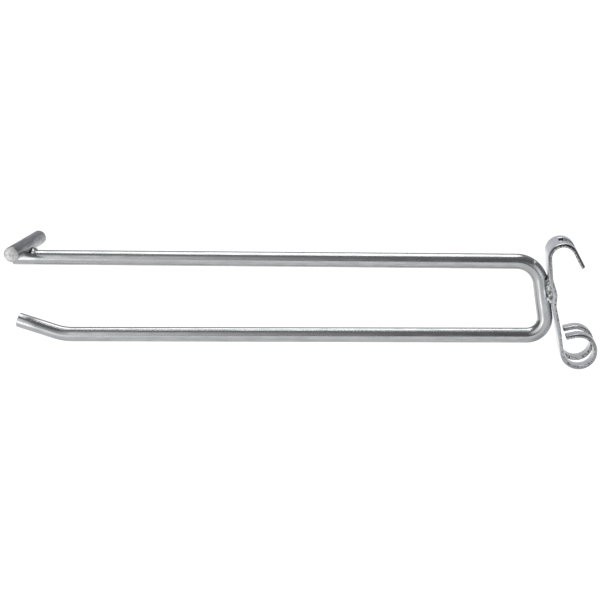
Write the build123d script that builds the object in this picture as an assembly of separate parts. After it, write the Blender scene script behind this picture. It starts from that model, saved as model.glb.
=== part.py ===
from build123d import *
from math import acos, atan2, cos, degrees, hypot, radians, sin, tan
import os

# Display hook for a shop rail: a wire bent to a U makes two arms, a crossbar is welded over the
# tip of the upper arm, and a stamped strip clip is welded to the back of the U.
# Millimetres. +X runs from the arms' tips to the clip, +Y along the crossbar, +Z up.
# The origin is the centre of the clip's hook, where the rail lies.

WIRE_D = 6.0
STRIP_T = 1.5
STRIP_W = 18.0
SLOT_W = 7.4           # slot in the hook and in the curl, which lets an upright wire pass

# the U-bent wire
ARM_Z = -3.0           # the upper arm's axis
ARM_TIP_X = -218.7     # the upper arm's cut end
BASE_X = -8.95         # where the axes of the upper arm and the base would cross
BASE_LEAN = 8.5        # degrees by which the base leans back on its way down
ARM_SPACING = 29.6     # between the arms' axes, at the base
ARM_SPREAD = 0.74      # degrees by which the arms open towards their tips
UPPER_BEND_R = 9.5
LOWER_BEND_R = 7.0
UPTURN_X = -199.7      # where the lower arm turns up
UPTURN_ANGLE = 17.4    # degrees above the horizontal
UPTURN_LENGTH = 19.6
UPTURN_R = 22.0
CUT_EDGE = 0.3         # chamfer round a cut end

# the crossbar, which the weld has sunk into the upper arm
CROSSBAR_LENGTH = 36.0
CROSSBAR_X = -213.45
CROSSBAR_RISE = 4.72   # its axis above the arm's axis

# the strip clip: down is measured along the base from the upper arm's axis
HOOK_R = 4.3           # inside the hook
TONGUE_ANGLE = 28.0    # degrees by which the hook's free end flares out
TONGUE_LENGTH = 6.8
HOOK_SLOT_START = 102  # degrees round the hook, counted from +X
CURL_R = 5.65          # inside the curl
CURL_DOWN = 35.6
CURL_TURN = 274.5
CURL_END = 3.6         # straight stretch at the curl's free end
CURL_SLOT_START = 38   # degrees round the curl, counted from the leg
LEG_TOUCH_DOWN = (6.0, 16.2)  # where the leg touches the wire
LEG_BOW_DOWN = 12.0
LEG_BOW = 0.95         # the leg bows back by this much between the touches
LEG_STANDOFF_DOWN = 25.5
LEG_STANDOFF = 0.6     # its distance from the wire's line below the touches
LEG_FOLD_R = 3.0

# the weld beads, as rounded bars cut to fit the metal beside them
CLIP_BEAD_R = 1.5
CLIP_BEAD_DOWN = (7.4, 14.4)
CLIP_BEAD_BACK = 3.0   # behind the wire's axis
CLIP_BEAD_SIDE = 2.3   # beside the wire's axis
CROSSBAR_BEAD_R = 1.1
CROSSBAR_BEAD_LENGTH = 2.8
CROSSBAR_BEAD_OUT = 3.2
CROSSBAR_BEAD_RISE = 2.9

WIRE_R = WIRE_D / 2
CLEAR = 12.0           # how far a slot cutter reaches past the metal


def polar(centre, radius, angle):
    return (centre[0] + radius * cos(radians(angle)), centre[1] + radius * sin(radians(angle)))


def on_base(down, back):
    """A point in side view, from its place down the base's axis and behind it."""
    lean = radians(BASE_LEAN)
    x = BASE_X + down * sin(lean) + back * cos(lean)
    return (x, ARM_Z - down * cos(lean) + back * sin(lean))


def lower_arm_z(x):
    return ARM_Z - ARM_SPACING - (BASE_X - x) * tan(radians(ARM_SPREAD))


def arc(centre, radius, start, end):
    return ThreePointArc(*[polar(centre, radius, a) for a in (start, (start + end) / 2, end)])


def front_tangent(radius, point):
    """Where a line from the point touches the front of a circle round the origin, in degrees."""
    bearing = degrees(atan2(point[1], point[0]))
    return (bearing - degrees(acos(radius / hypot(*point)))) % 360


def crossbar_rod():
    rod = Cylinder(WIRE_R, CROSSBAR_LENGTH, rotation=(90, 0, 0))
    rod = chamfer(rod.edges().filter_by(GeomType.CIRCLE), CUT_EDGE)
    return Pos(CROSSBAR_X, 0, ARM_Z + CROSSBAR_RISE) * rod


def arm_wire():
    """Upper arm, base and lower arm with its upturned tip, notched where the crossbar sinks in."""
    base_length = ARM_SPACING / cos(radians(BASE_LEAN))
    foot_x = on_base(base_length, 0)[0]
    upturn = (UPTURN_X, lower_arm_z(UPTURN_X))
    corners = [
        (ARM_TIP_X, ARM_Z),
        (BASE_X, ARM_Z),
        (foot_x, lower_arm_z(foot_x)),
        upturn,
        polar(upturn, UPTURN_LENGTH, 180 - UPTURN_ANGLE),
    ]
    radii = [UPPER_BEND_R, LOWER_BEND_R, UPTURN_R]
    route = Plane.XZ * FilletPolyline(*corners, radius=radii)
    wire = sweep(Plane(origin=route @ 0, z_dir=route % 0) * Circle(WIRE_R), path=route)
    wire = chamfer(wire.faces().filter_by(GeomType.PLANE).edges(), CUT_EDGE)
    return wire - crossbar_rod()


def curl_centre():
    return on_base(CURL_DOWN, WIRE_R + STRIP_T + LEG_STANDOFF + CURL_R)


def clip_line(out):
    """One face of the strip in side view. out is 0 inside the hook and curl, STRIP_T outside."""
    back = WIRE_R + STRIP_T - out
    touch_high, touch_low = [on_base(down, back) for down in LEG_TOUCH_DOWN]
    hook_top = front_tangent(HOOK_R + out, touch_high)
    tongue_root = polar((0, 0), HOOK_R + out, TONGUE_ANGLE)
    tongue_tip = polar(tongue_root, TONGUE_LENGTH, TONGUE_ANGLE - 90)
    leg = [
        polar((0, 0), HOOK_R + out, hook_top),
        touch_high,
        on_base(LEG_BOW_DOWN, back + LEG_BOW),
        touch_low,
        on_base(LEG_STANDOFF_DOWN, back + LEG_STANDOFF),
        on_base(CURL_DOWN, back + LEG_STANDOFF),
    ]
    bent_back, bent_front = LEG_FOLD_R + out, LEG_FOLD_R + STRIP_T - out
    leg_radii = [bent_back, bent_front, bent_back, bent_front]
    curl_start = 180 + BASE_LEAN
    curl_stop = curl_start + CURL_TURN
    curl_root = polar(curl_centre(), CURL_R + out, curl_stop)
    curl_tip = polar(curl_root, CURL_END, curl_stop + 90)
    line = [
        Line(tongue_tip, tongue_root),
        arc((0, 0), HOOK_R + out, TONGUE_ANGLE, hook_top),
        *FilletPolyline(*leg, radius=leg_radii).edges(),
        arc(curl_centre(), CURL_R + out, curl_start, curl_stop),
        Line(curl_root, curl_tip),
    ]
    return line, tongue_tip, curl_tip


def slot_cutter(*outline):
    return extrude(Plane.XZ * make_face(Polyline(*outline, close=True)), SLOT_W / 2, both=True)


def rail_clip():
    """A strip bent to a hook above and a curl below, with a slot through each bend."""
    inside, tongue_inside, curl_inside = clip_line(0)
    outside, tongue_outside, curl_outside = clip_line(STRIP_T)
    ends = [Line(tongue_inside, tongue_outside), Line(curl_inside, curl_outside)]
    side_view = make_face([*inside, *outside, *ends])
    strip = extrude(Plane.XZ * side_view, STRIP_W / 2, both=True)
    hook_slot = slot_cutter(
        (0, 0), polar((0, 0), CLEAR, HOOK_SLOT_START), (CLEAR, CLEAR), (CLEAR, -CLEAR), (0, -CLEAR)
    )
    x, z = curl_centre()
    curl_past_leg = x - CURL_R - STRIP_T + 1
    curl_slot = slot_cutter(
        (x, z),
        polar((x, z), CLEAR, 180 + BASE_LEAN + CURL_SLOT_START),
        (x + CLEAR, z - CLEAR),
        (x + CLEAR, z + CLEAR),
        (curl_past_leg, z + CLEAR),
        (curl_past_leg, z + CURL_R / 2),
    )
    return strip - hook_slot - curl_slot


def bead(start, end, radius):
    """A bar with round ends."""
    run = end - start
    bar = Plane(origin=start, z_dir=run) * Pos(0, 0, run.length / 2) * Cylinder(radius, run.length)
    return bar + Pos(*start) * Sphere(radius) + Pos(*end) * Sphere(radius)


def clip_bead(side):
    """The weld along one side of the base, between the wire and the strip."""
    ends = [on_base(down, CLIP_BEAD_BACK) for down in CLIP_BEAD_DOWN]
    start, end = [Vector(x, side * CLIP_BEAD_SIDE, z) for x, z in ends]
    return bead(start, end, CLIP_BEAD_R)


def crossbar_bead(way):
    """The weld in the corner between the crossbar and the arm, in front of the bar or behind it."""
    x = CROSSBAR_X + way * CROSSBAR_BEAD_OUT
    z = ARM_Z + CROSSBAR_BEAD_RISE
    half = CROSSBAR_BEAD_LENGTH / 2
    return bead(Vector(x, -half, z), Vector(x, half, z), CROSSBAR_BEAD_R)


wire = arm_wire()
crossbar = crossbar_rod()
clip = rail_clip()
nodes = {
    "arm_wire": wire,
    "crossbar": crossbar,
    "rail_clip": clip,
    "clip_weld_left": clip_bead(1) - wire - clip,
    "clip_weld_right": clip_bead(-1) - wire - clip,
    "crossbar_weld_front": crossbar_bead(-1) - wire - crossbar,
    "crossbar_weld_back": crossbar_bead(1) - wire - crossbar,
}

os.makedirs("parts", exist_ok=True)
for name, body in nodes.items():
    export_step(body, f"parts/{name}.step")
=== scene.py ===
import math
from collections import namedtuple

import bmesh
import bpy
from bpy.props import FloatProperty, FloatVectorProperty, PointerProperty
from mathutils import Matrix, Vector, noise


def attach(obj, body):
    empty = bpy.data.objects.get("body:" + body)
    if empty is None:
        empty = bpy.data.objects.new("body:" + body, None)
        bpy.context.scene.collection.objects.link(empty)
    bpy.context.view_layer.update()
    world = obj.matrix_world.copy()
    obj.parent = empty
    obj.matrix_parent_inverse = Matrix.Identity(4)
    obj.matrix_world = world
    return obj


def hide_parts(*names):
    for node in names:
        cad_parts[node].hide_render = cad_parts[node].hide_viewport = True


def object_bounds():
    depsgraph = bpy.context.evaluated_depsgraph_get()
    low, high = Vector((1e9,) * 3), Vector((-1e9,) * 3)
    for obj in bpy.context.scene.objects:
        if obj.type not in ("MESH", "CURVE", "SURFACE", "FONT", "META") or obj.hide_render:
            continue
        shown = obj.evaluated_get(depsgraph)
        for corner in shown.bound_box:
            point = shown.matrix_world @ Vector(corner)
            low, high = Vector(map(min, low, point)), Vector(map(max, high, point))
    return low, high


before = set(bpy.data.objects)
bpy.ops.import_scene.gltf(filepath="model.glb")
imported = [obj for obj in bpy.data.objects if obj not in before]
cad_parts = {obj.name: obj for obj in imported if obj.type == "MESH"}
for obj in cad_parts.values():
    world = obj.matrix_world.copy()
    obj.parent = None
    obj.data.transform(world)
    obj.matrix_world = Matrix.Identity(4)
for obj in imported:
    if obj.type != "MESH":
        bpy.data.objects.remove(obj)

CAD_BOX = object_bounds()

bl_info = {
    "name": "Twin display hook",
    "version": (1, 0, 0),
    "blender": (4, 5, 0),
    "location": "View3D > Sidebar > Display Hook",
    "description": "Makes a zinc-plated twin display hook with a strip clip for a shop rail",
    "category": "Add Mesh",
}

# Side views are drawn in the XZ plane: +X runs from the arms' tips to the clip, +Z up, and the
# crossbar and the clip's width lie along +Y. The origin is the centre of the clip's hook.

MM = 0.001
ACROSS = Vector((0, 1, 0))

ROUND_SIDES = 64                      # sides of a drawn wire
BEND_STEP = math.radians(5)           # one row of faces in a bend
RUN_STEP = 12 * MM                    # longest row of faces on a straight run
SHARP = math.radians(38)              # edges folded more than this are shaded sharp
STRIP_SHARP = math.radians(60)        # edges of the strip folded more than this get rounded

# Weld beads: height of the ripples over the bead's radius, and balls of spatter, in mm
RIPPLE = 0.06
CLIP_SPATTER = (                      # down the base, behind its axis, beside it, and radius
    (14.6, 2.0, 2.9, 0.85),
    (15.9, 2.9, 2.5, 0.8),
    (16.3, 3.9, 2.2, 0.75),
)
BAR_SPATTER = (0.35, 1.9, -0.2)       # away from the crossbar, beside the arm, and up
BAR_SPATTER_RADIUS = 0.85

# Floor, camera and the lamp in front of the hook, with angles in degrees
FLOOR_HALF = 8
CAMERA_PLACE = Vector((-45.71, -493.26, 99.65)) * MM
CAMERA_TURN, CAMERA_TILT, CAMERA_ROLL = 6.514, 76.505, -0.842
LAMP_HEADING = (-43, -2)
LAMP_INNER, LAMP_OUTER = 12, 21       # full light within the first, none beyond the second

BLACK = (0.0, 0.0, 0.0, 1.0)
WHITE = (1.0, 1.0, 1.0, 1.0)

Run = namedtuple("Run", "move")
Turn = namedtuple("Turn", "centre angle radius")
Softbox = namedtuple("Softbox", "name aside azimuth elevation distance width height power")

# Place aside of the hook's middle, heading in degrees, distance and size in metres, power in watts
SOFTBOXES = (
    Softbox("overhead softbox", -0.13, 0, 104, 1.2, 1.02, 1.13, 7.1),
    Softbox("side softbox", 0, -33, -12, 2.5, 1.1, 1.16, 5.4),
)


# Sizes and colours ---------------------------------------------------------------------------

def length(name, description, size_mm):
    return FloatProperty(name=name, description=description, default=size_mm * MM, unit="LENGTH")


def angle(name, description, degrees):
    return FloatProperty(
        name=name, description=description, default=math.radians(degrees), subtype="ANGLE"
    )


def share(name, description, value):
    return FloatProperty(
        name=name, description=description, default=value, min=0, max=1, subtype="FACTOR"
    )


def colour(name, description, rgb):
    return FloatVectorProperty(
        name=name, description=description, default=rgb, min=0, max=1, subtype="COLOR"
    )


class HookWireSizes(bpy.types.PropertyGroup):
    """The wire that is bent to a U"""

    diameter: length("Wire diameter", "Thickness of the drawn wire", 6)
    arm_height: length("Upper arm height", "Height of the upper arm's axis", -3)
    tip_x: length("Upper arm tip", "Where the upper arm is cut off", -218.7)
    base_x: length("Base", "Where the axes of the upper arm and the base cross", -8.95)
    base_lean: angle("Base lean", "How far the base leans back on its way down", 8.5)
    spacing: length("Arm spacing", "Distance between the arms' axes at the base", 29.6)
    spread: angle("Arm spread", "How far the arms open towards their tips", 0.74)
    upper_bend: length("Upper bend", "Radius of the upper bend", 9.5)
    lower_bend: length("Lower bend", "Radius of the lower bend", 7)
    upturn_x: length("Upturn", "Where the lower arm turns up", -199.7)
    upturn_angle: angle("Upturn angle", "How steeply the lower arm's tip rises", 17.4)
    upturn_length: length("Upturn length", "Length of the upturned tip", 19.6)
    upturn_bend: length("Upturn bend", "Radius of the bend below the tip", 22)
    cut_edge: length("Cut edge", "Rounding round a cut end", 0.3)
    light_zinc: colour("Light zinc", "Colour of the brighter plating", (0.438, 0.449, 0.453))
    dark_zinc: colour("Dark zinc", "Colour of the duller plating", (0.372, 0.383, 0.39))
    roughness: share("Roughness", "Roughness of the brightest plating", 0.15)


class HookCrossbarSizes(bpy.types.PropertyGroup):
    """The short bar welded across the upper arm's tip"""

    length: length("Length", "Length of the crossbar", 36)
    x: length("Place", "Where the crossbar's axis crosses the upper arm", -213.45)
    rise: length("Rise", "Height of the crossbar's axis over the arm's axis", 4.72)
    light_zinc: colour("Light zinc", "Colour of the brighter plating", (0.36, 0.365, 0.375))
    dark_zinc: colour("Dark zinc", "Colour of the duller plating", (0.225, 0.232, 0.243))
    sawn: colour("Sawn end", "Colour of the sawn end faces", (0.455, 0.46, 0.465))
    roughness: share("Roughness", "Roughness of the brightest plating", 0.24)


class HookClipSizes(bpy.types.PropertyGroup):
    """The stamped strip with a hook above and a curl below"""

    thickness: length("Strip thickness", "Thickness of the strip", 1.5)
    width: length("Strip width", "Width of the strip", 18)
    slot: length("Slot width", "Width of the slots in the hook and the curl", 7.4)
    hook_radius: length("Hook radius", "Inner radius of the hook", 4.3)
    tongue_angle: angle("Tongue angle", "How far the hook's free end flares out", 28)
    tongue: length("Tongue length", "Straight free end of the hook", 6.8)
    hook_slot: angle("Hook slot", "Where round the hook its slot starts", 102)
    curl_radius: length("Curl radius", "Inner radius of the curl", 5.65)
    curl_down: length("Curl drop", "Distance down the base to the curl", 35.6)
    curl_turn: angle("Curl turn", "How far the curl turns", 274.5)
    curl_end: length("Curl end", "Straight free end of the curl", 3.6)
    curl_slot: angle("Curl slot", "Where round the curl its slot starts", 38)
    touch_high: length("Upper touch", "Where the leg first touches the wire", 6)
    bow_down: length("Bow drop", "Middle of the leg's bow", 12)
    touch_low: length("Lower touch", "Where the leg last touches the wire", 16.2)
    bow: length("Bow", "How far the leg bows back from the wire", 0.95)
    standoff_down: length("Stand-off drop", "Where the leg's stand-off is complete", 25.5)
    standoff: length("Stand-off", "Distance of the leg from the wire's line", 0.6)
    fold: length("Fold radius", "Inner radius of the leg's folds", 3)
    rolled_edge: length("Rolled edge", "Rounding on the side where the shear entered", 0.55)
    torn_edge: length("Torn edge", "Rounding on the side where the shear left", 0.12)
    light_zinc: colour("Light zinc", "Colour of the brighter plating", (0.80, 0.81, 0.84))
    dark_zinc: colour("Dark zinc", "Colour of the duller plating", (0.69, 0.70, 0.73))
    sheared_light: colour("Sheared, light", "Bright grains of the torn edge", (0.50, 0.515, 0.51))
    sheared_dark: colour("Sheared, dark", "Pits of the torn edge", (0.08, 0.085, 0.084))
    # the rolled band's colour is a painted dark reflection of the dim room, painted brighter down
    # the leg
    rolled: colour("Rolled band", "Band where the shear entered", (0.08, 0.084, 0.088))
    roughness: share("Roughness", "Roughness of the brightest plating", 0.3)


class HookWeldSizes(bpy.types.PropertyGroup):
    """The weld beads beside the clip's leg and the crossbar"""

    clip_radius: length("Clip bead radius", "Radius of the beads beside the leg", 1.5)
    clip_start: length("Clip bead start", "Top of the bead, measured down the base", 6.1)
    clip_end: length("Clip bead end", "Foot of the bead, measured down the base", 15.6)
    clip_back: length("Clip bead depth", "Bead axis behind the wire's axis", 3.0)
    clip_side: length("Clip bead offset", "Bead axis beside the wire's axis", 2.3)
    bar_radius: length("Crossbar bead radius", "Radius of the beads at the crossbar", 1.1)
    bar_length: length("Crossbar bead length", "Length of the beads at the crossbar", 4.8)
    bar_out: length("Crossbar bead place", "Bead axis from the crossbar's axis", 3.2)
    bar_rise: length("Crossbar bead rise", "Bead axis over the arm's axis", 2.9)
    lump: length("Lumps", "Height of the lumps on a bead", 0.22)
    bright: colour("Bright metal", "Colour of the bright spatter", (0.5, 0.52, 0.51))
    fresh: colour("Fresh metal", "Colour of the balls of spatter", (0.72, 0.73, 0.73))
    dull: colour("Dull metal", "Colour of the scale", (0.10, 0.11, 0.103))


class HookStageSizes(bpy.types.PropertyGroup):
    """Floor, lights and camera"""

    floor_drop: length("Floor drop", "Floor below the clip's hook", 1200)
    floor: colour("Floor", "Colour of the floor", (0.06, 0.06, 0.06))
    shade: colour("Shade", "Light of the floor right below the hook", (0.88, 0.88, 0.88))
    floor_glow: FloatProperty(
        name="Floor glow", description="Even light of the floor", default=1.08
    )
    room: colour("Room", "Light of the dim part of the room", (0.14, 0.142, 0.147))
    backdrop: colour("Backdrop", "Light of the wall behind the hook", (0.69, 0.692, 0.72))
    window: FloatProperty(name="Window", description="Light of the window", default=1.4)
    lamp: FloatProperty(name="Lamp", description="Light of the lamp in front", default=2.1)
    background: FloatProperty(
        name="Background", description="Light that the camera itself sees", default=1.05
    )
    lens: FloatProperty(name="Lens", description="Focal length in mm", default=76.8)


# Shaders --------------------------------------------------------------------------------------

class Term:
    """A shader socket that Python's arithmetic joins with Math nodes"""

    def __init__(self, finish, socket):
        self.finish, self.socket = finish, socket

    def math(self, operation, first, second):
        return self.finish.add("ShaderNodeMath", {"operation": operation}, {0: first, 1: second})

    def __add__(self, other):
        return self.math("ADD", self, other)

    def __sub__(self, other):
        return self.math("SUBTRACT", self, other)

    def __rsub__(self, other):
        return self.math("SUBTRACT", other, self)

    def __mul__(self, other):
        return self.math("MULTIPLY", self, other)

    def __pow__(self, other):
        return self.math("POWER", self, other)

    __radd__ = __add__
    __rmul__ = __mul__


class Finish:
    """The nodes of one material, or of the world"""

    def __init__(self, tree):
        self.tree = tree
        tree.nodes.clear()

    def add(self, kind, settings=None, inputs=None, output=0):
        """One node: its settings first, then the values or links of its sockets."""
        node = self.tree.nodes.new(kind)
        for key, value in (settings or {}).items():
            setattr(node, key, value)
        for key, value in (inputs or {}).items():
            if isinstance(value, Term):
                self.tree.links.new(value.socket, node.inputs[key])
            else:
                node.inputs[key].default_value = value
        return Term(self, node.outputs[output])

    def axes(self, place):
        """The place's X, Y and Z."""
        return [self.add("ShaderNodeSeparateXYZ", {}, {0: place}, output=axis) for axis in "XYZ"]

    def laid(self):
        """The place on the flat stock: the `laid` attribute of the mesh."""
        return self.add("ShaderNodeAttribute", {"attribute_name": "laid"}, output="Vector")

    def noise(self, place, stretch, detail, rough=0.5):
        """Noise whose grains number `stretch` per metre along each axis of the place."""
        scaled = self.add("ShaderNodeMapping", {}, {"Vector": place, "Scale": stretch})
        return self.add(
            "ShaderNodeTexNoise",
            {"noise_dimensions": "3D"},
            {"Vector": scaled, "Scale": 1.0, "Detail": detail, "Roughness": rough},
        )

    def ramp(self, value, low, high):
        """0 below low, 1 above high, smooth between."""
        return self.add(
            "ShaderNodeMapRange",
            {"interpolation_type": "SMOOTHSTEP"},
            {"Value": value, "From Min": low, "From Max": high},
        )

    def lobe(self, facing, direction, inner, outer):
        """1 within `inner` degrees of the direction, 0 beyond `outer`."""
        near = self.add(
            "ShaderNodeVectorMath",
            {"operation": "DOT_PRODUCT"},
            {0: facing, 1: direction},
            output="Value",
        )
        return self.ramp(near, math.cos(math.radians(outer)), math.cos(math.radians(inner)))

    def mix(self, factor, first, second):
        """A blend of two colours."""
        return self.add(
            "ShaderNodeMix", {"data_type": "RGBA"}, {0: factor, 6: first, 7: second}, output=2
        )

    def bump(self, height, depth):
        return self.add(
            "ShaderNodeBump", {}, {"Strength": 1.0, "Distance": depth, "Height": height}
        )

    def surface(self, **sockets):
        named = {key.replace("_", " "): value for key, value in sockets.items()}
        shader = self.add("ShaderNodeBsdfPrincipled", {}, named)
        self.add_output("ShaderNodeOutputMaterial", shader)

    def add_output(self, kind, shader):
        node = self.tree.nodes.new(kind)
        self.tree.links.new(shader.socket, node.inputs["Surface"])


def new_finish(name):
    material = bpy.data.materials.new(name)
    material.use_nodes = True
    return material, Finish(material.node_tree)


def rgba(rgb):
    return (*rgb, 1.0)


def grey(level):
    return (level, level, level, 1.0)


def times(rgb, factor):
    """The colour made darker or brighter."""
    return tuple(tone * factor for tone in rgb)


def plated_zinc(name, sizes, wave):
    """Bright zinc over drawn metal: long draw lines, soft patches, dark specks and a fine grain.
    `wave` is the height of the soft waves, against 0.2 for the lines."""
    material, finish = new_finish(name)
    laid = finish.laid()
    lines = finish.noise(laid, (40, 1700, 1700), detail=0)
    waves = finish.noise(laid, (30, 420, 420), detail=0)
    patches = finish.noise(laid, (150, 700, 700), detail=1)
    grain = finish.noise(laid, (2600, 4200, 4200), detail=1)
    bright = finish.ramp(patches * 0.72 + lines * 0.28, 0.34, 0.64)
    base = finish.mix(bright, rgba(sizes.dark_zinc), rgba(sizes.light_zinc))
    speck = finish.ramp(grain, 0.66, 0.8)
    base = finish.mix(speck * 0.3, base, rgba(times(sizes.dark_zinc, 0.45)))
    finish.surface(
        Base_Color=base,
        Metallic=1.0,
        Roughness=(1 - bright) * 0.1 + grain * 0.03 + sizes.roughness,
        Normal=finish.bump(lines * 0.2 + waves * wave, 0.018 * MM),
    )
    return material


def cut_metal(name, light, dark, scale):
    """A sawn or cropped end: crushed grains and pits, `scale` grains per metre."""
    material, finish = new_finish(name)
    place = finish.add("ShaderNodeTexCoord", {}, output="Object")
    grains = finish.noise(place, (scale,) * 3, detail=3, rough=0.6)
    pits = finish.noise(place, (scale * 0.45,) * 3, detail=1)
    height = grains * 0.6 + pits * 0.4
    tone = finish.ramp(height, 0.36, 0.58)
    finish.surface(
        Base_Color=finish.mix(tone, rgba(dark), rgba(light)),
        Metallic=1.0,
        Roughness=0.55 - tone * 0.15,
        Normal=finish.bump(height, 0.06 * MM),
    )
    return material


def sheared_metal(name, sizes):
    """A sheared edge: a smooth rolled band where the shear entered, coloured as a painted dark
    reflection, then torn grains.
    """
    material, finish = new_finish(name)
    laid = finish.laid()
    along, across, depth = finish.axes(laid)
    wander = finish.noise(laid, (420, 900, 0), detail=2)
    grains = finish.noise(laid, (2000, 900, 2400), detail=2, rough=0.6)
    streaks = finish.noise(laid, (1300, 300, 220), detail=1)
    # the strip's long sides, against the sides of its slots
    half = sizes.width / 2
    outer = finish.ramp(across ** 2, (half * 0.79) ** 2, (half * 0.93) ** 2)
    # the blind end of the hook's slot, where the band takes most of the thickness: painted shade
    # where the slot's far wall lies in shadow
    past_slot = finish.ramp(along, 11.8 * MM, 12.6 * MM)
    past_hook = finish.ramp(along, 30 * MM, 40 * MM)
    slot_end_painted_shade = past_slot * (1 - past_hook) * (1 - outer)
    edge = (wander * 0.3 + outer * 0.5 + slot_end_painted_shade * 0.8 + 0.1) * MM
    torn = finish.ramp(depth - edge, -0.08 * MM, 0.1 * MM)
    tone = finish.ramp(grains * 0.7 + streaks * 0.3, 0.38, 0.57)
    rough_zone = finish.mix(tone, rgba(sizes.sheared_dark), rgba(sizes.sheared_light))
    # the band is a painted reflection: dark round the hook, where it stands for the dim room
    # mirrored in it, and painted bright down the leg
    leg_painted_lighter = finish.ramp(along, 22 * MM, 34 * MM)
    rolled_band_painted_reflection = finish.mix(leg_painted_lighter, rgba(sizes.rolled), rgba(times(sizes.rolled, 3.6)))
    finish.surface(
        Base_Color=finish.mix(torn, rolled_band_painted_reflection, rough_zone),
        Metallic=1.0,
        Roughness=torn * 0.3 + 0.2,
        Normal=finish.bump(torn * grains, 0.16 * MM),
    )
    return material


def weld_metal(name, dull, shiny, threshold):
    """Weld metal: dull scale with shiny spots where the noise passes the threshold."""
    material, finish = new_finish(name)
    place = finish.add("ShaderNodeTexCoord", {}, output="Object")
    lumps = finish.noise(place, (900,) * 3, detail=3, rough=0.6)
    spots = finish.noise(place, (1700,) * 3, detail=1)
    bright = finish.ramp(lumps * 0.5 + spots * 0.5, threshold, threshold + 0.16)
    finish.surface(
        Base_Color=finish.mix(bright, rgba(dull), rgba(shiny)),
        Metallic=1.0,
        Roughness=0.5 - bright * 0.22,
        Normal=finish.bump(lumps, 0.25 * MM),
    )
    return material


# Mesh helpers ---------------------------------------------------------------------------------

def polar(centre, radius, turn):
    return centre + radius * Vector((math.cos(turn), 0, math.sin(turn)))


def rounded(corners, radii):
    """Runs and turns along a side-view line whose corners are rounded."""
    steps, here = [], corners[0]
    for before, corner, after, radius in zip(corners, corners[1:], corners[2:], radii):
        inward, onward = (corner - before).normalized(), (after - corner).normalized()
        bend = math.atan2(inward.cross(onward).dot(ACROSS), inward.dot(onward))
        reach = radius * math.tan(abs(bend) / 2)
        start = corner - inward * reach
        to_centre = Matrix.Rotation(math.copysign(math.pi / 2, bend), 3, "Y") @ inward
        steps += [Run(start - here), Turn(start + to_centre * radius, bend, radius)]
        here = corner + onward * reach
    return [*steps, Run(corners[-1] - here)]


def verts_of(geom):
    return [part for part in geom if isinstance(part, bmesh.types.BMVert)]


def edges_of(geom):
    return [part for part in geom if isinstance(part, bmesh.types.BMEdge)]


def draw_row(bm, row, step, part):
    """One row of faces along a run or a turn. Returns the new row of edges and its verts."""
    if isinstance(step, Run):
        drawn = bmesh.ops.extrude_edge_only(bm, edges=row)["geom"]
        bmesh.ops.translate(bm, vec=step.move * part, verts=verts_of(drawn))
    else:
        verts = list(dict.fromkeys(vert for edge in row for vert in edge.verts))
        drawn = bmesh.ops.spin(
            bm, geom=verts + row, cent=step.centre, axis=ACROSS, angle=step.angle * part, steps=1
        )["geom_last"]
    return edges_of(drawn), verts_of(drawn)


def draw_along(bm, row, steps):
    """Draws the row along the steps and lays down the distance from the start in `laid`.
    Returns the last row and the faces that each step made."""
    laid = bm.verts.layers.float_vector["laid"]
    made = []
    for step in steps:
        known = set(bm.faces)
        if isinstance(step, Run):
            travel, longest = step.move.length, RUN_STEP
        else:
            travel, longest = abs(step.angle) * step.radius, BEND_STEP * step.radius
        count = max(1, math.ceil(travel / longest))
        for _ in range(count):
            row, verts = draw_row(bm, row, step, 1 / count)
            for vert in verts:
                vert[laid] = vert[laid] + Vector((travel / count, 0, 0))
        made.append([face for face in bm.faces if face not in known])
    return row, made


def new_round_bar(radius, facing, start):
    """A bmesh with one ring of edges, whose verts carry their place on the section."""
    bm = bmesh.new()
    laid = bm.verts.layers.float_vector.new("laid")
    bmesh.ops.create_circle(bm, segments=ROUND_SIDES, radius=radius)
    for vert in bm.verts:
        vert[laid] = Vector((0, vert.co.x, vert.co.y))
    bmesh.ops.transform(bm, matrix=Matrix.Translation(start) @ facing, verts=bm.verts[:])
    return bm, bm.edges[:]


def round_edges(bm, edges, size, segments):
    bmesh.ops.bevel(
        bm,
        geom=edges,
        offset=size,
        segments=segments,
        profile=0.5,
        affect="EDGES",
        material=-1,
    )


def cap_ends(bm, rings, cut_edge):
    """Closes the tube's ends with the second material and rounds their edges."""
    for ring in rings:
        bmesh.ops.edgeloop_fill(bm, edges=ring, mat_nr=1)
    bmesh.ops.recalc_face_normals(bm, faces=bm.faces[:])
    round_edges(bm, [edge for ring in rings for edge in ring], cut_edge, segments=3)


def add_piece(name, bm, materials, replaces):
    """Turns the bmesh into a finished piece that stands for a CAD node."""
    for face in bm.faces:
        face.smooth = True
    for edge in bm.edges:
        edge.smooth = edge.calc_face_angle(0) < SHARP
    mesh = bpy.data.meshes.new(name)
    bm.to_mesh(mesh)
    bm.free()
    for material in materials:
        mesh.materials.append(material)
    piece = bpy.data.objects.new(name, mesh)
    bpy.context.scene.collection.objects.link(piece)
    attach(piece, "root")
    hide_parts(replaces)


# The pieces -----------------------------------------------------------------------------------

def on_base(wire, down, back):
    """A point in side view, from its place down the base's axis and behind it."""
    lean = wire.base_lean
    x = wire.base_x + down * math.sin(lean) + back * math.cos(lean)
    return Vector((x, 0, wire.arm_height - down * math.cos(lean) + back * math.sin(lean)))


def lower_arm_point(wire, x):
    drop = wire.spacing + (wire.base_x - x) * math.tan(wire.spread)
    return Vector((x, 0, wire.arm_height - drop))


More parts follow.
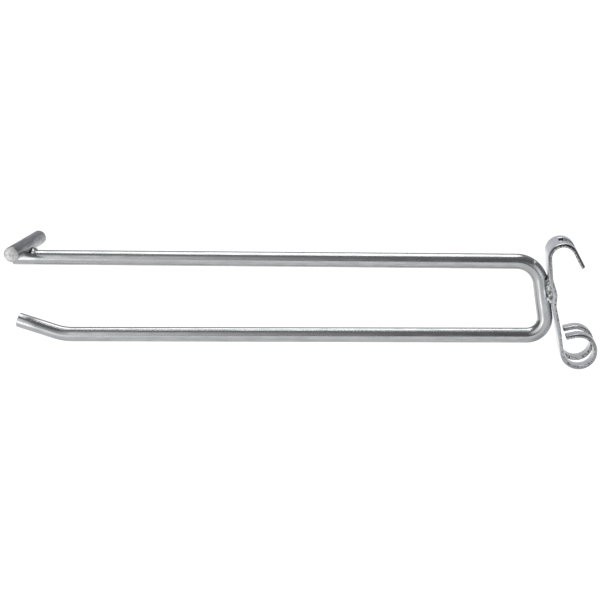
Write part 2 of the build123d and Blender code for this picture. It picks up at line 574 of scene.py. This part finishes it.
class HOOK_OT_wire(bpy.types.Operator):
    """Make the U-bent wire with its upturned lower tip"""

    bl_idname = "display_hook.wire"
    bl_label = "Arm Wire"
    bl_options = {"REGISTER", "UNDO"}

    def execute(self, context):
        wire = context.scene.hook_wire
        foot = on_base(wire, wire.spacing / math.cos(wire.base_lean), 0)
        upturn = lower_arm_point(wire, wire.upturn_x)
        corners = [
            Vector((wire.tip_x, 0, wire.arm_height)),
            Vector((wire.base_x, 0, wire.arm_height)),
            lower_arm_point(wire, foot.x),
            upturn,
            polar(upturn, wire.upturn_length, math.pi - wire.upturn_angle),
        ]
        radii = [wire.upper_bend, wire.lower_bend, wire.upturn_bend]
        facing = Matrix.Rotation(math.pi / 2, 4, "Z") @ Matrix.Rotation(math.pi / 2, 4, "X")
        bm, first = new_round_bar(wire.diameter / 2, facing, corners[0])
        last, _ = draw_along(bm, first, rounded(corners, radii))
        cap_ends(bm, (first, last), wire.cut_edge)
        materials = [
            plated_zinc("plated wire", wire, wave=0.5),
            cut_metal("cropped wire end", wire.light_zinc, wire.dark_zinc, scale=1100),
        ]
        add_piece("arm_wire_plated", bm, materials, "arm_wire")
        return {"FINISHED"}


class HOOK_OT_crossbar(bpy.types.Operator):
    """Make the crossbar with its sawn ends"""

    bl_idname = "display_hook.crossbar"
    bl_label = "Crossbar"
    bl_options = {"REGISTER", "UNDO"}

    def execute(self, context):
        wire, bar = context.scene.hook_wire, context.scene.hook_crossbar
        start = Vector((bar.x, -bar.length / 2, wire.arm_height + bar.rise))
        facing = Matrix.Rotation(-math.pi / 2, 4, "X")
        bm, first = new_round_bar(wire.diameter / 2, facing, start)
        last, _ = draw_along(bm, first, [Run(ACROSS * bar.length)])
        cap_ends(bm, (first, last), wire.cut_edge)
        materials = [
            plated_zinc("plated crossbar", bar, wave=0.35),
            cut_metal("sawn crossbar end", bar.sawn, times(bar.sawn, 0.8), scale=900),
        ]
        add_piece("crossbar_plated", bm, materials, "crossbar")
        return {"FINISHED"}


def front_tangent(radius, point):
    """Where a line from the point touches the front of a circle round the origin."""
    bearing = math.atan2(point.z, point.x)
    return (bearing - math.acos(radius / point.length)) % math.tau


def clip_route(wire, clip):
    """The strip's outer face in side view: its first point, the steps along it and, for each
    step, whether a slot runs through it."""
    thickness = clip.thickness
    radius = clip.hook_radius + thickness
    back = wire.diameter / 2
    origin = Vector()
    touch_high = on_base(wire, clip.touch_high, back)
    touch_low = on_base(wire, clip.touch_low, back)
    hook_top = front_tangent(radius, touch_high)
    root = polar(origin, radius, clip.tongue_angle)
    tip = polar(root, clip.tongue, clip.tongue_angle - math.pi / 2)
    leg = [
        polar(origin, radius, hook_top),
        touch_high,
        on_base(wire, clip.bow_down, back + clip.bow),
        touch_low,
        on_base(wire, clip.standoff_down, back + clip.standoff),
        on_base(wire, clip.curl_down, back + clip.standoff),
    ]
    bent_back, bent_front = clip.fold + thickness, clip.fold
    leg_radii = [bent_back, bent_front, bent_back, bent_front]
    curl_reach = clip.curl_radius + thickness
    curl = on_base(wire, clip.curl_down, back + clip.standoff + curl_reach)
    curl_start = math.pi + wire.base_lean
    curl_stop = curl_start + clip.curl_turn
    curl_root = polar(curl, curl_reach, curl_stop)
    curl_tip = polar(curl_root, clip.curl_end, curl_stop + math.pi / 2)
    steps = [
        (Run(root - tip), True),
        (Turn(origin, clip.tongue_angle - clip.hook_slot, radius), True),
        (Turn(origin, clip.hook_slot - hook_top, radius), False),
        *((step, False) for step in rounded(leg, leg_radii)),
        (Turn(curl, -clip.curl_slot, curl_reach), False),
        (Turn(curl, clip.curl_slot - clip.curl_turn, curl_reach), True),
        (Run(curl_tip - curl_root), True),
    ]
    return tip, steps


def shell_the_strip(bm, thickness):
    """Gives the folded sheet its thickness, and its sheared faces the second material."""
    laid = bm.verts.layers.float_vector["laid"]
    inner = bmesh.ops.solidify(bm, geom=bm.faces[:], thickness=-thickness)["geom"]
    inner_verts = set(verts_of(inner))
    for vert in inner_verts:
        vert[laid] = vert[laid] + Vector((0, 0, thickness))
    bmesh.ops.recalc_face_normals(bm, faces=bm.faces[:])
    for face in bm.faces:
        face.material_index = int(0 < sum(vert in inner_verts for vert in face.verts) < 4)
    return inner_verts


class HOOK_OT_clip(bpy.types.Operator):
    """Make the strip clip with its slotted hook and curl"""

    bl_idname = "display_hook.clip"
    bl_label = "Rail Clip"
    bl_options = {"REGISTER", "UNDO"}

    def execute(self, context):
        wire, clip = context.scene.hook_wire, context.scene.hook_clip
        start, route = clip_route(wire, clip)
        half, gap = clip.width / 2, clip.slot / 2
        bm = bmesh.new()
        laid = bm.verts.layers.float_vector.new("laid")
        # columns of faces across the strip, with the sides of its slots among them
        columns = [-half, -(half + gap) / 2, -gap, 0, gap, (half + gap) / 2, half]
        verts = [bm.verts.new(start + ACROSS * y) for y in columns]
        for vert in verts:
            vert[laid] = Vector((0, vert.co.y, 0))
        row = [bm.edges.new(pair) for pair in zip(verts, verts[1:])]
        _, made = draw_along(bm, row, [step for step, _ in route])
        slotted = [
            face
            for faces, (_, slotted_here) in zip(made, route)
            if slotted_here
            for face in faces
            if abs(face.calc_center_median().y) < gap
        ]
        bmesh.ops.delete(bm, geom=slotted, context="FACES")
        inner = shell_the_strip(bm, clip.thickness)
        # the shear entered through the outer face and left through the inner one
        sharp = [edge for edge in bm.edges if edge.calc_face_angle(0) > STRIP_SHARP]
        torn = [edge for edge in sharp if all(vert in inner for vert in edge.verts)]
        rolled = [edge for edge in sharp if not any(vert in inner for vert in edge.verts)]
        round_edges(bm, torn, clip.torn_edge, segments=4)
        rolled = [edge for edge in rolled if edge.is_valid]
        round_edges(bm, rolled, clip.rolled_edge, segments=4)
        materials = [
            plated_zinc("plated strip", clip, wave=0.3),
            sheared_metal("sheared strip edge", clip),
        ]
        add_piece("rail_clip_plated", bm, materials, "rail_clip")
        return {"FINISHED"}


def lumpy_bead(bm, centre, along, half_length, radius, lump, ripples):
    """Adds a weld bead: a drawn-out ball with ripples across it and lumps over it."""
    turn = along.to_track_quat("Z", "Y").to_matrix().to_4x4()
    ball = bmesh.ops.create_uvsphere(bm, u_segments=40, v_segments=36, radius=1.0)["verts"]
    for vert in ball:
        ripple = RIPPLE * math.sin(vert.co.z * ripples * math.pi)
        vert.co += vert.co.normalized() * ripple
    size = Matrix.Diagonal((radius, radius, half_length, 1))
    bmesh.ops.transform(bm, matrix=Matrix.Translation(centre) @ turn @ size, verts=ball)
    # broad lumps with finer ones on them
    for vert in ball:
        place = vert.co / MM
        rise = noise.noise(place * 0.9) * 0.7 + noise.noise(place * 2.1) * 0.3
        vert.co += (vert.co - centre).normalized() * rise * lump


def add_spatter(bm, spots, along, lump):
    """Adds balls of fresh metal, each from its centre and radius, in the second material."""
    known = set(bm.faces)
    for centre, radius in spots:
        lumpy_bead(bm, centre, along, radius, radius, lump, ripples=1)
    for face in set(bm.faces) - known:
        face.material_index = 1


def clip_bead_mesh(wire, weld, side):
    """The bead along one side of the base, with spatter at its foot."""
    bm = bmesh.new()
    top = on_base(wire, weld.clip_start, weld.clip_back)
    foot = on_base(wire, weld.clip_end, weld.clip_back)
    centre = (top + foot) / 2 + ACROSS * side * weld.clip_side
    along = foot - top
    lumpy_bead(bm, centre, along, along.length / 2, weld.clip_radius, weld.lump, ripples=5)
    spots = [
        (on_base(wire, down * MM, back * MM) + ACROSS * side * out * MM, radius * MM)
        for down, back, out, radius in CLIP_SPATTER
    ]
    add_spatter(bm, spots, along, weld.lump)
    return bm


def crossbar_bead_mesh(wire, bar, weld, way):
    """The bead in front of the crossbar or behind it, with spatter at both ends."""
    bm = bmesh.new()
    centre = Vector((bar.x + way * weld.bar_out, 0, wire.arm_height + weld.bar_rise))
    lumpy_bead(bm, centre, ACROSS, weld.bar_length / 2, weld.bar_radius, weld.lump, ripples=3)
    away, beside, up = BAR_SPATTER
    spots = [
        (centre + Vector((way * away, side * beside, up)) * MM, BAR_SPATTER_RADIUS * MM)
        for side in (-1, 1)
    ]
    add_spatter(bm, spots, ACROSS, weld.lump)
    return bm


class HOOK_OT_welds(bpy.types.Operator):
    """Make the four weld beads"""

    bl_idname = "display_hook.welds"
    bl_label = "Weld Beads"
    bl_options = {"REGISTER", "UNDO"}

    def execute(self, context):
        scene = context.scene
        wire, bar, weld = scene.hook_wire, scene.hook_crossbar, scene.hook_weld
        materials = [
            weld_metal("weld metal", weld.dull, weld.bright, threshold=0.42),
            weld_metal("fresh spatter", weld.bright, weld.fresh, threshold=0.3),
        ]
        beads = {
            "clip_weld_left": clip_bead_mesh(wire, weld, 1),
            "clip_weld_right": clip_bead_mesh(wire, weld, -1),
            "crossbar_weld_front": crossbar_bead_mesh(wire, bar, weld, -1),
            "crossbar_weld_back": crossbar_bead_mesh(wire, bar, weld, 1),
        }
        for node, bm in beads.items():
            add_piece(f"{node}_bead", bm, materials, node)
        return {"FINISHED"}


# Stage ----------------------------------------------------------------------------------------

def heading(azimuth, elevation):
    """A direction, from degrees round from -Y towards +X and degrees above the horizon."""
    a, e = math.radians(azimuth), math.radians(elevation)
    return Vector((math.sin(a) * math.cos(e), -math.cos(a) * math.cos(e), math.sin(e)))


def add_softbox(box, middle):
    """A soft light that faces the hook."""
    direction = heading(box.azimuth, box.elevation)
    data = bpy.data.lights.new(box.name, "AREA")
    data.shape, data.size, data.size_y, data.energy = "ELLIPSE", box.width, box.height, box.power
    light = bpy.data.objects.new(box.name, data)
    light.location = middle + Vector((box.aside, 0, 0)) + direction * box.distance
    light.rotation_euler = direction.to_track_quat("Z", "Y").to_euler()
    bpy.context.scene.collection.objects.link(light)


class HOOK_OT_stage(bpy.types.Operator):
    """Make the floor, the lights and the camera"""

    bl_idname = "display_hook.stage"
    bl_label = "Stage"
    bl_options = {"REGISTER", "UNDO"}

    def execute(self, context):
        stage = context.scene.hook_stage
        self.make_floor(stage)
        self.make_room(context.scene, stage)
        middle = (CAD_BOX[0] + CAD_BOX[1]) / 2
        for box in SOFTBOXES:
            add_softbox(box, middle)
        self.make_camera(context.scene, stage)
        return {"FINISHED"}

    def make_floor(self, stage):
        """A floor that glows white far from the hook, and a little less below it."""
        bm = bmesh.new()
        bmesh.ops.create_grid(bm, x_segments=8, y_segments=8, size=FLOOR_HALF)
        bmesh.ops.translate(bm, vec=(0, 0, -stage.floor_drop), verts=bm.verts[:])
        mesh = bpy.data.meshes.new("floor")
        bm.to_mesh(mesh)
        bm.free()
        material, finish = new_finish("pale floor")
        place = finish.add("ShaderNodeTexCoord", {}, output="Object")
        x, y, _ = finish.axes(place)
        # how far it takes to turn white in front, behind and aside
        in_front, behind = finish.ramp(y * -1, 0, 2.4), finish.ramp(y, 0.6, 2.4)
        aside = finish.ramp((x + 0.1) ** 2, 1.2, 8)
        pale = finish.add("ShaderNodeClamp", {}, {"Value": in_front + behind + aside})
        right_dim = finish.ramp(x, 0, 0.5) * 0.4
        shade = finish.mix(right_dim, rgba(stage.shade), BLACK)
        finish.surface(
            Base_Color=rgba(stage.floor),
            Roughness=0.9,
            Emission_Color=finish.mix(pale, shade, WHITE),
            Emission_Strength=stage.floor_glow,
        )
        mesh.materials.append(material)
        floor = bpy.data.objects.new("floor", mesh)
        bpy.context.scene.collection.objects.link(floor)

    def make_room(self, scene, stage):
        """A dim room that the camera itself sees as plain white."""
        world = bpy.data.worlds.new("room")
        world.use_nodes = True
        scene.world = world
        finish = Finish(world.node_tree)
        seen = finish.add("ShaderNodeLightPath", output="Is Camera Ray")
        facing = finish.add("ShaderNodeTexCoord", {}, output="Generated")
        x, y, z = finish.axes(facing)
        # the wall behind the hook, darker higher up
        wall = finish.ramp(y, 0.1, 0.6) * (1 - finish.ramp(z, 0.0, 0.45) * 0.6)
        light = finish.mix(wall, rgba(stage.room), rgba(stage.backdrop))
        # a pale wall low on the right
        right = finish.ramp(x, 0.15, 0.5) * (1 - finish.ramp(z, 0.15, 0.5))
        light = finish.mix(right * (1 - finish.ramp(y, -0.4, 0)), light, WHITE)
        # a window in front on the left, from the floor's edge almost up to the ceiling
        left = finish.add("ShaderNodeClamp", {}, {"Value": (0.03 - x) * 3.1})
        height = finish.ramp(z, -0.3, 0.1) * (1 - finish.ramp(z, 0.45, 0.97))
        window = left ** 2 * height * (1 - finish.ramp(y, -0.7, -0.2))
        light = finish.mix(window, light, grey(stage.window))
        # the ceiling
        light = finish.mix(finish.ramp(z, 0.5, 0.9) * 0.12, light, WHITE)
        # a lamp in front on the left
        lamp = finish.lobe(facing, heading(*LAMP_HEADING), LAMP_INNER, LAMP_OUTER)
        light = finish.mix(lamp, light, grey(stage.lamp))
        light = finish.mix(seen, light, grey(stage.background))
        background = finish.add("ShaderNodeBackground", {}, {"Color": light, "Strength": 1.0})
        finish.add_output("ShaderNodeOutputWorld", background)

    def make_camera(self, scene, stage):
        data = bpy.data.cameras.new("camera")
        data.lens, data.sensor_width, data.clip_start, data.clip_end = stage.lens, 36, 0.01, 200
        camera = bpy.data.objects.new("camera", data)
        scene.collection.objects.link(camera)
        turn = Matrix.Rotation(math.radians(CAMERA_TURN), 4, "Z")
        tilt = Matrix.Rotation(math.radians(CAMERA_TILT), 4, "X")
        roll = Matrix.Rotation(math.radians(CAMERA_ROLL), 4, "Z")
        camera.matrix_world = Matrix.Translation(CAMERA_PLACE) @ turn @ tilt @ roll
        scene.camera = camera
        scene.view_settings.view_transform = "Standard"


class HOOK_PT_panel(bpy.types.Panel):
    """Operators and sizes of the display hook"""

    bl_idname = "HOOK_PT_panel"
    bl_label = "Display Hook"
    bl_space_type = "VIEW_3D"
    bl_region_type = "UI"
    bl_category = "Display Hook"

    def draw(self, context):
        for operator, group in PARTS:
            box = self.layout.box()
            box.operator(operator.bl_idname)
            sizes = getattr(context.scene, group)
            for name in sizes.__annotations__:
                box.prop(sizes, name)


GROUPS = {
    "hook_wire": HookWireSizes,
    "hook_crossbar": HookCrossbarSizes,
    "hook_clip": HookClipSizes,
    "hook_weld": HookWeldSizes,
    "hook_stage": HookStageSizes,
}
PARTS = [
    (HOOK_OT_wire, "hook_wire"),
    (HOOK_OT_crossbar, "hook_crossbar"),
    (HOOK_OT_clip, "hook_clip"),
    (HOOK_OT_welds, "hook_weld"),
    (HOOK_OT_stage, "hook_stage"),
]


def register():
    for group in GROUPS.values():
        bpy.utils.register_class(group)
    for operator, _ in PARTS:
        bpy.utils.register_class(operator)
    bpy.utils.register_class(HOOK_PT_panel)
    for name, group in GROUPS.items():
        setattr(bpy.types.Scene, name, PointerProperty(type=group))


def unregister():
    for name in GROUPS:
        delattr(bpy.types.Scene, name)
    bpy.utils.unregister_class(HOOK_PT_panel)
    for operator, _ in reversed(PARTS):
        bpy.utils.unregister_class(operator)
    for group in reversed(GROUPS.values()):
        bpy.utils.unregister_class(group)


def main():
    register()
    bpy.ops.display_hook.wire()
    bpy.ops.display_hook.crossbar()
    bpy.ops.display_hook.clip()
    bpy.ops.display_hook.welds()
    bpy.ops.display_hook.stage()


if __name__ == "__main__":
    main()
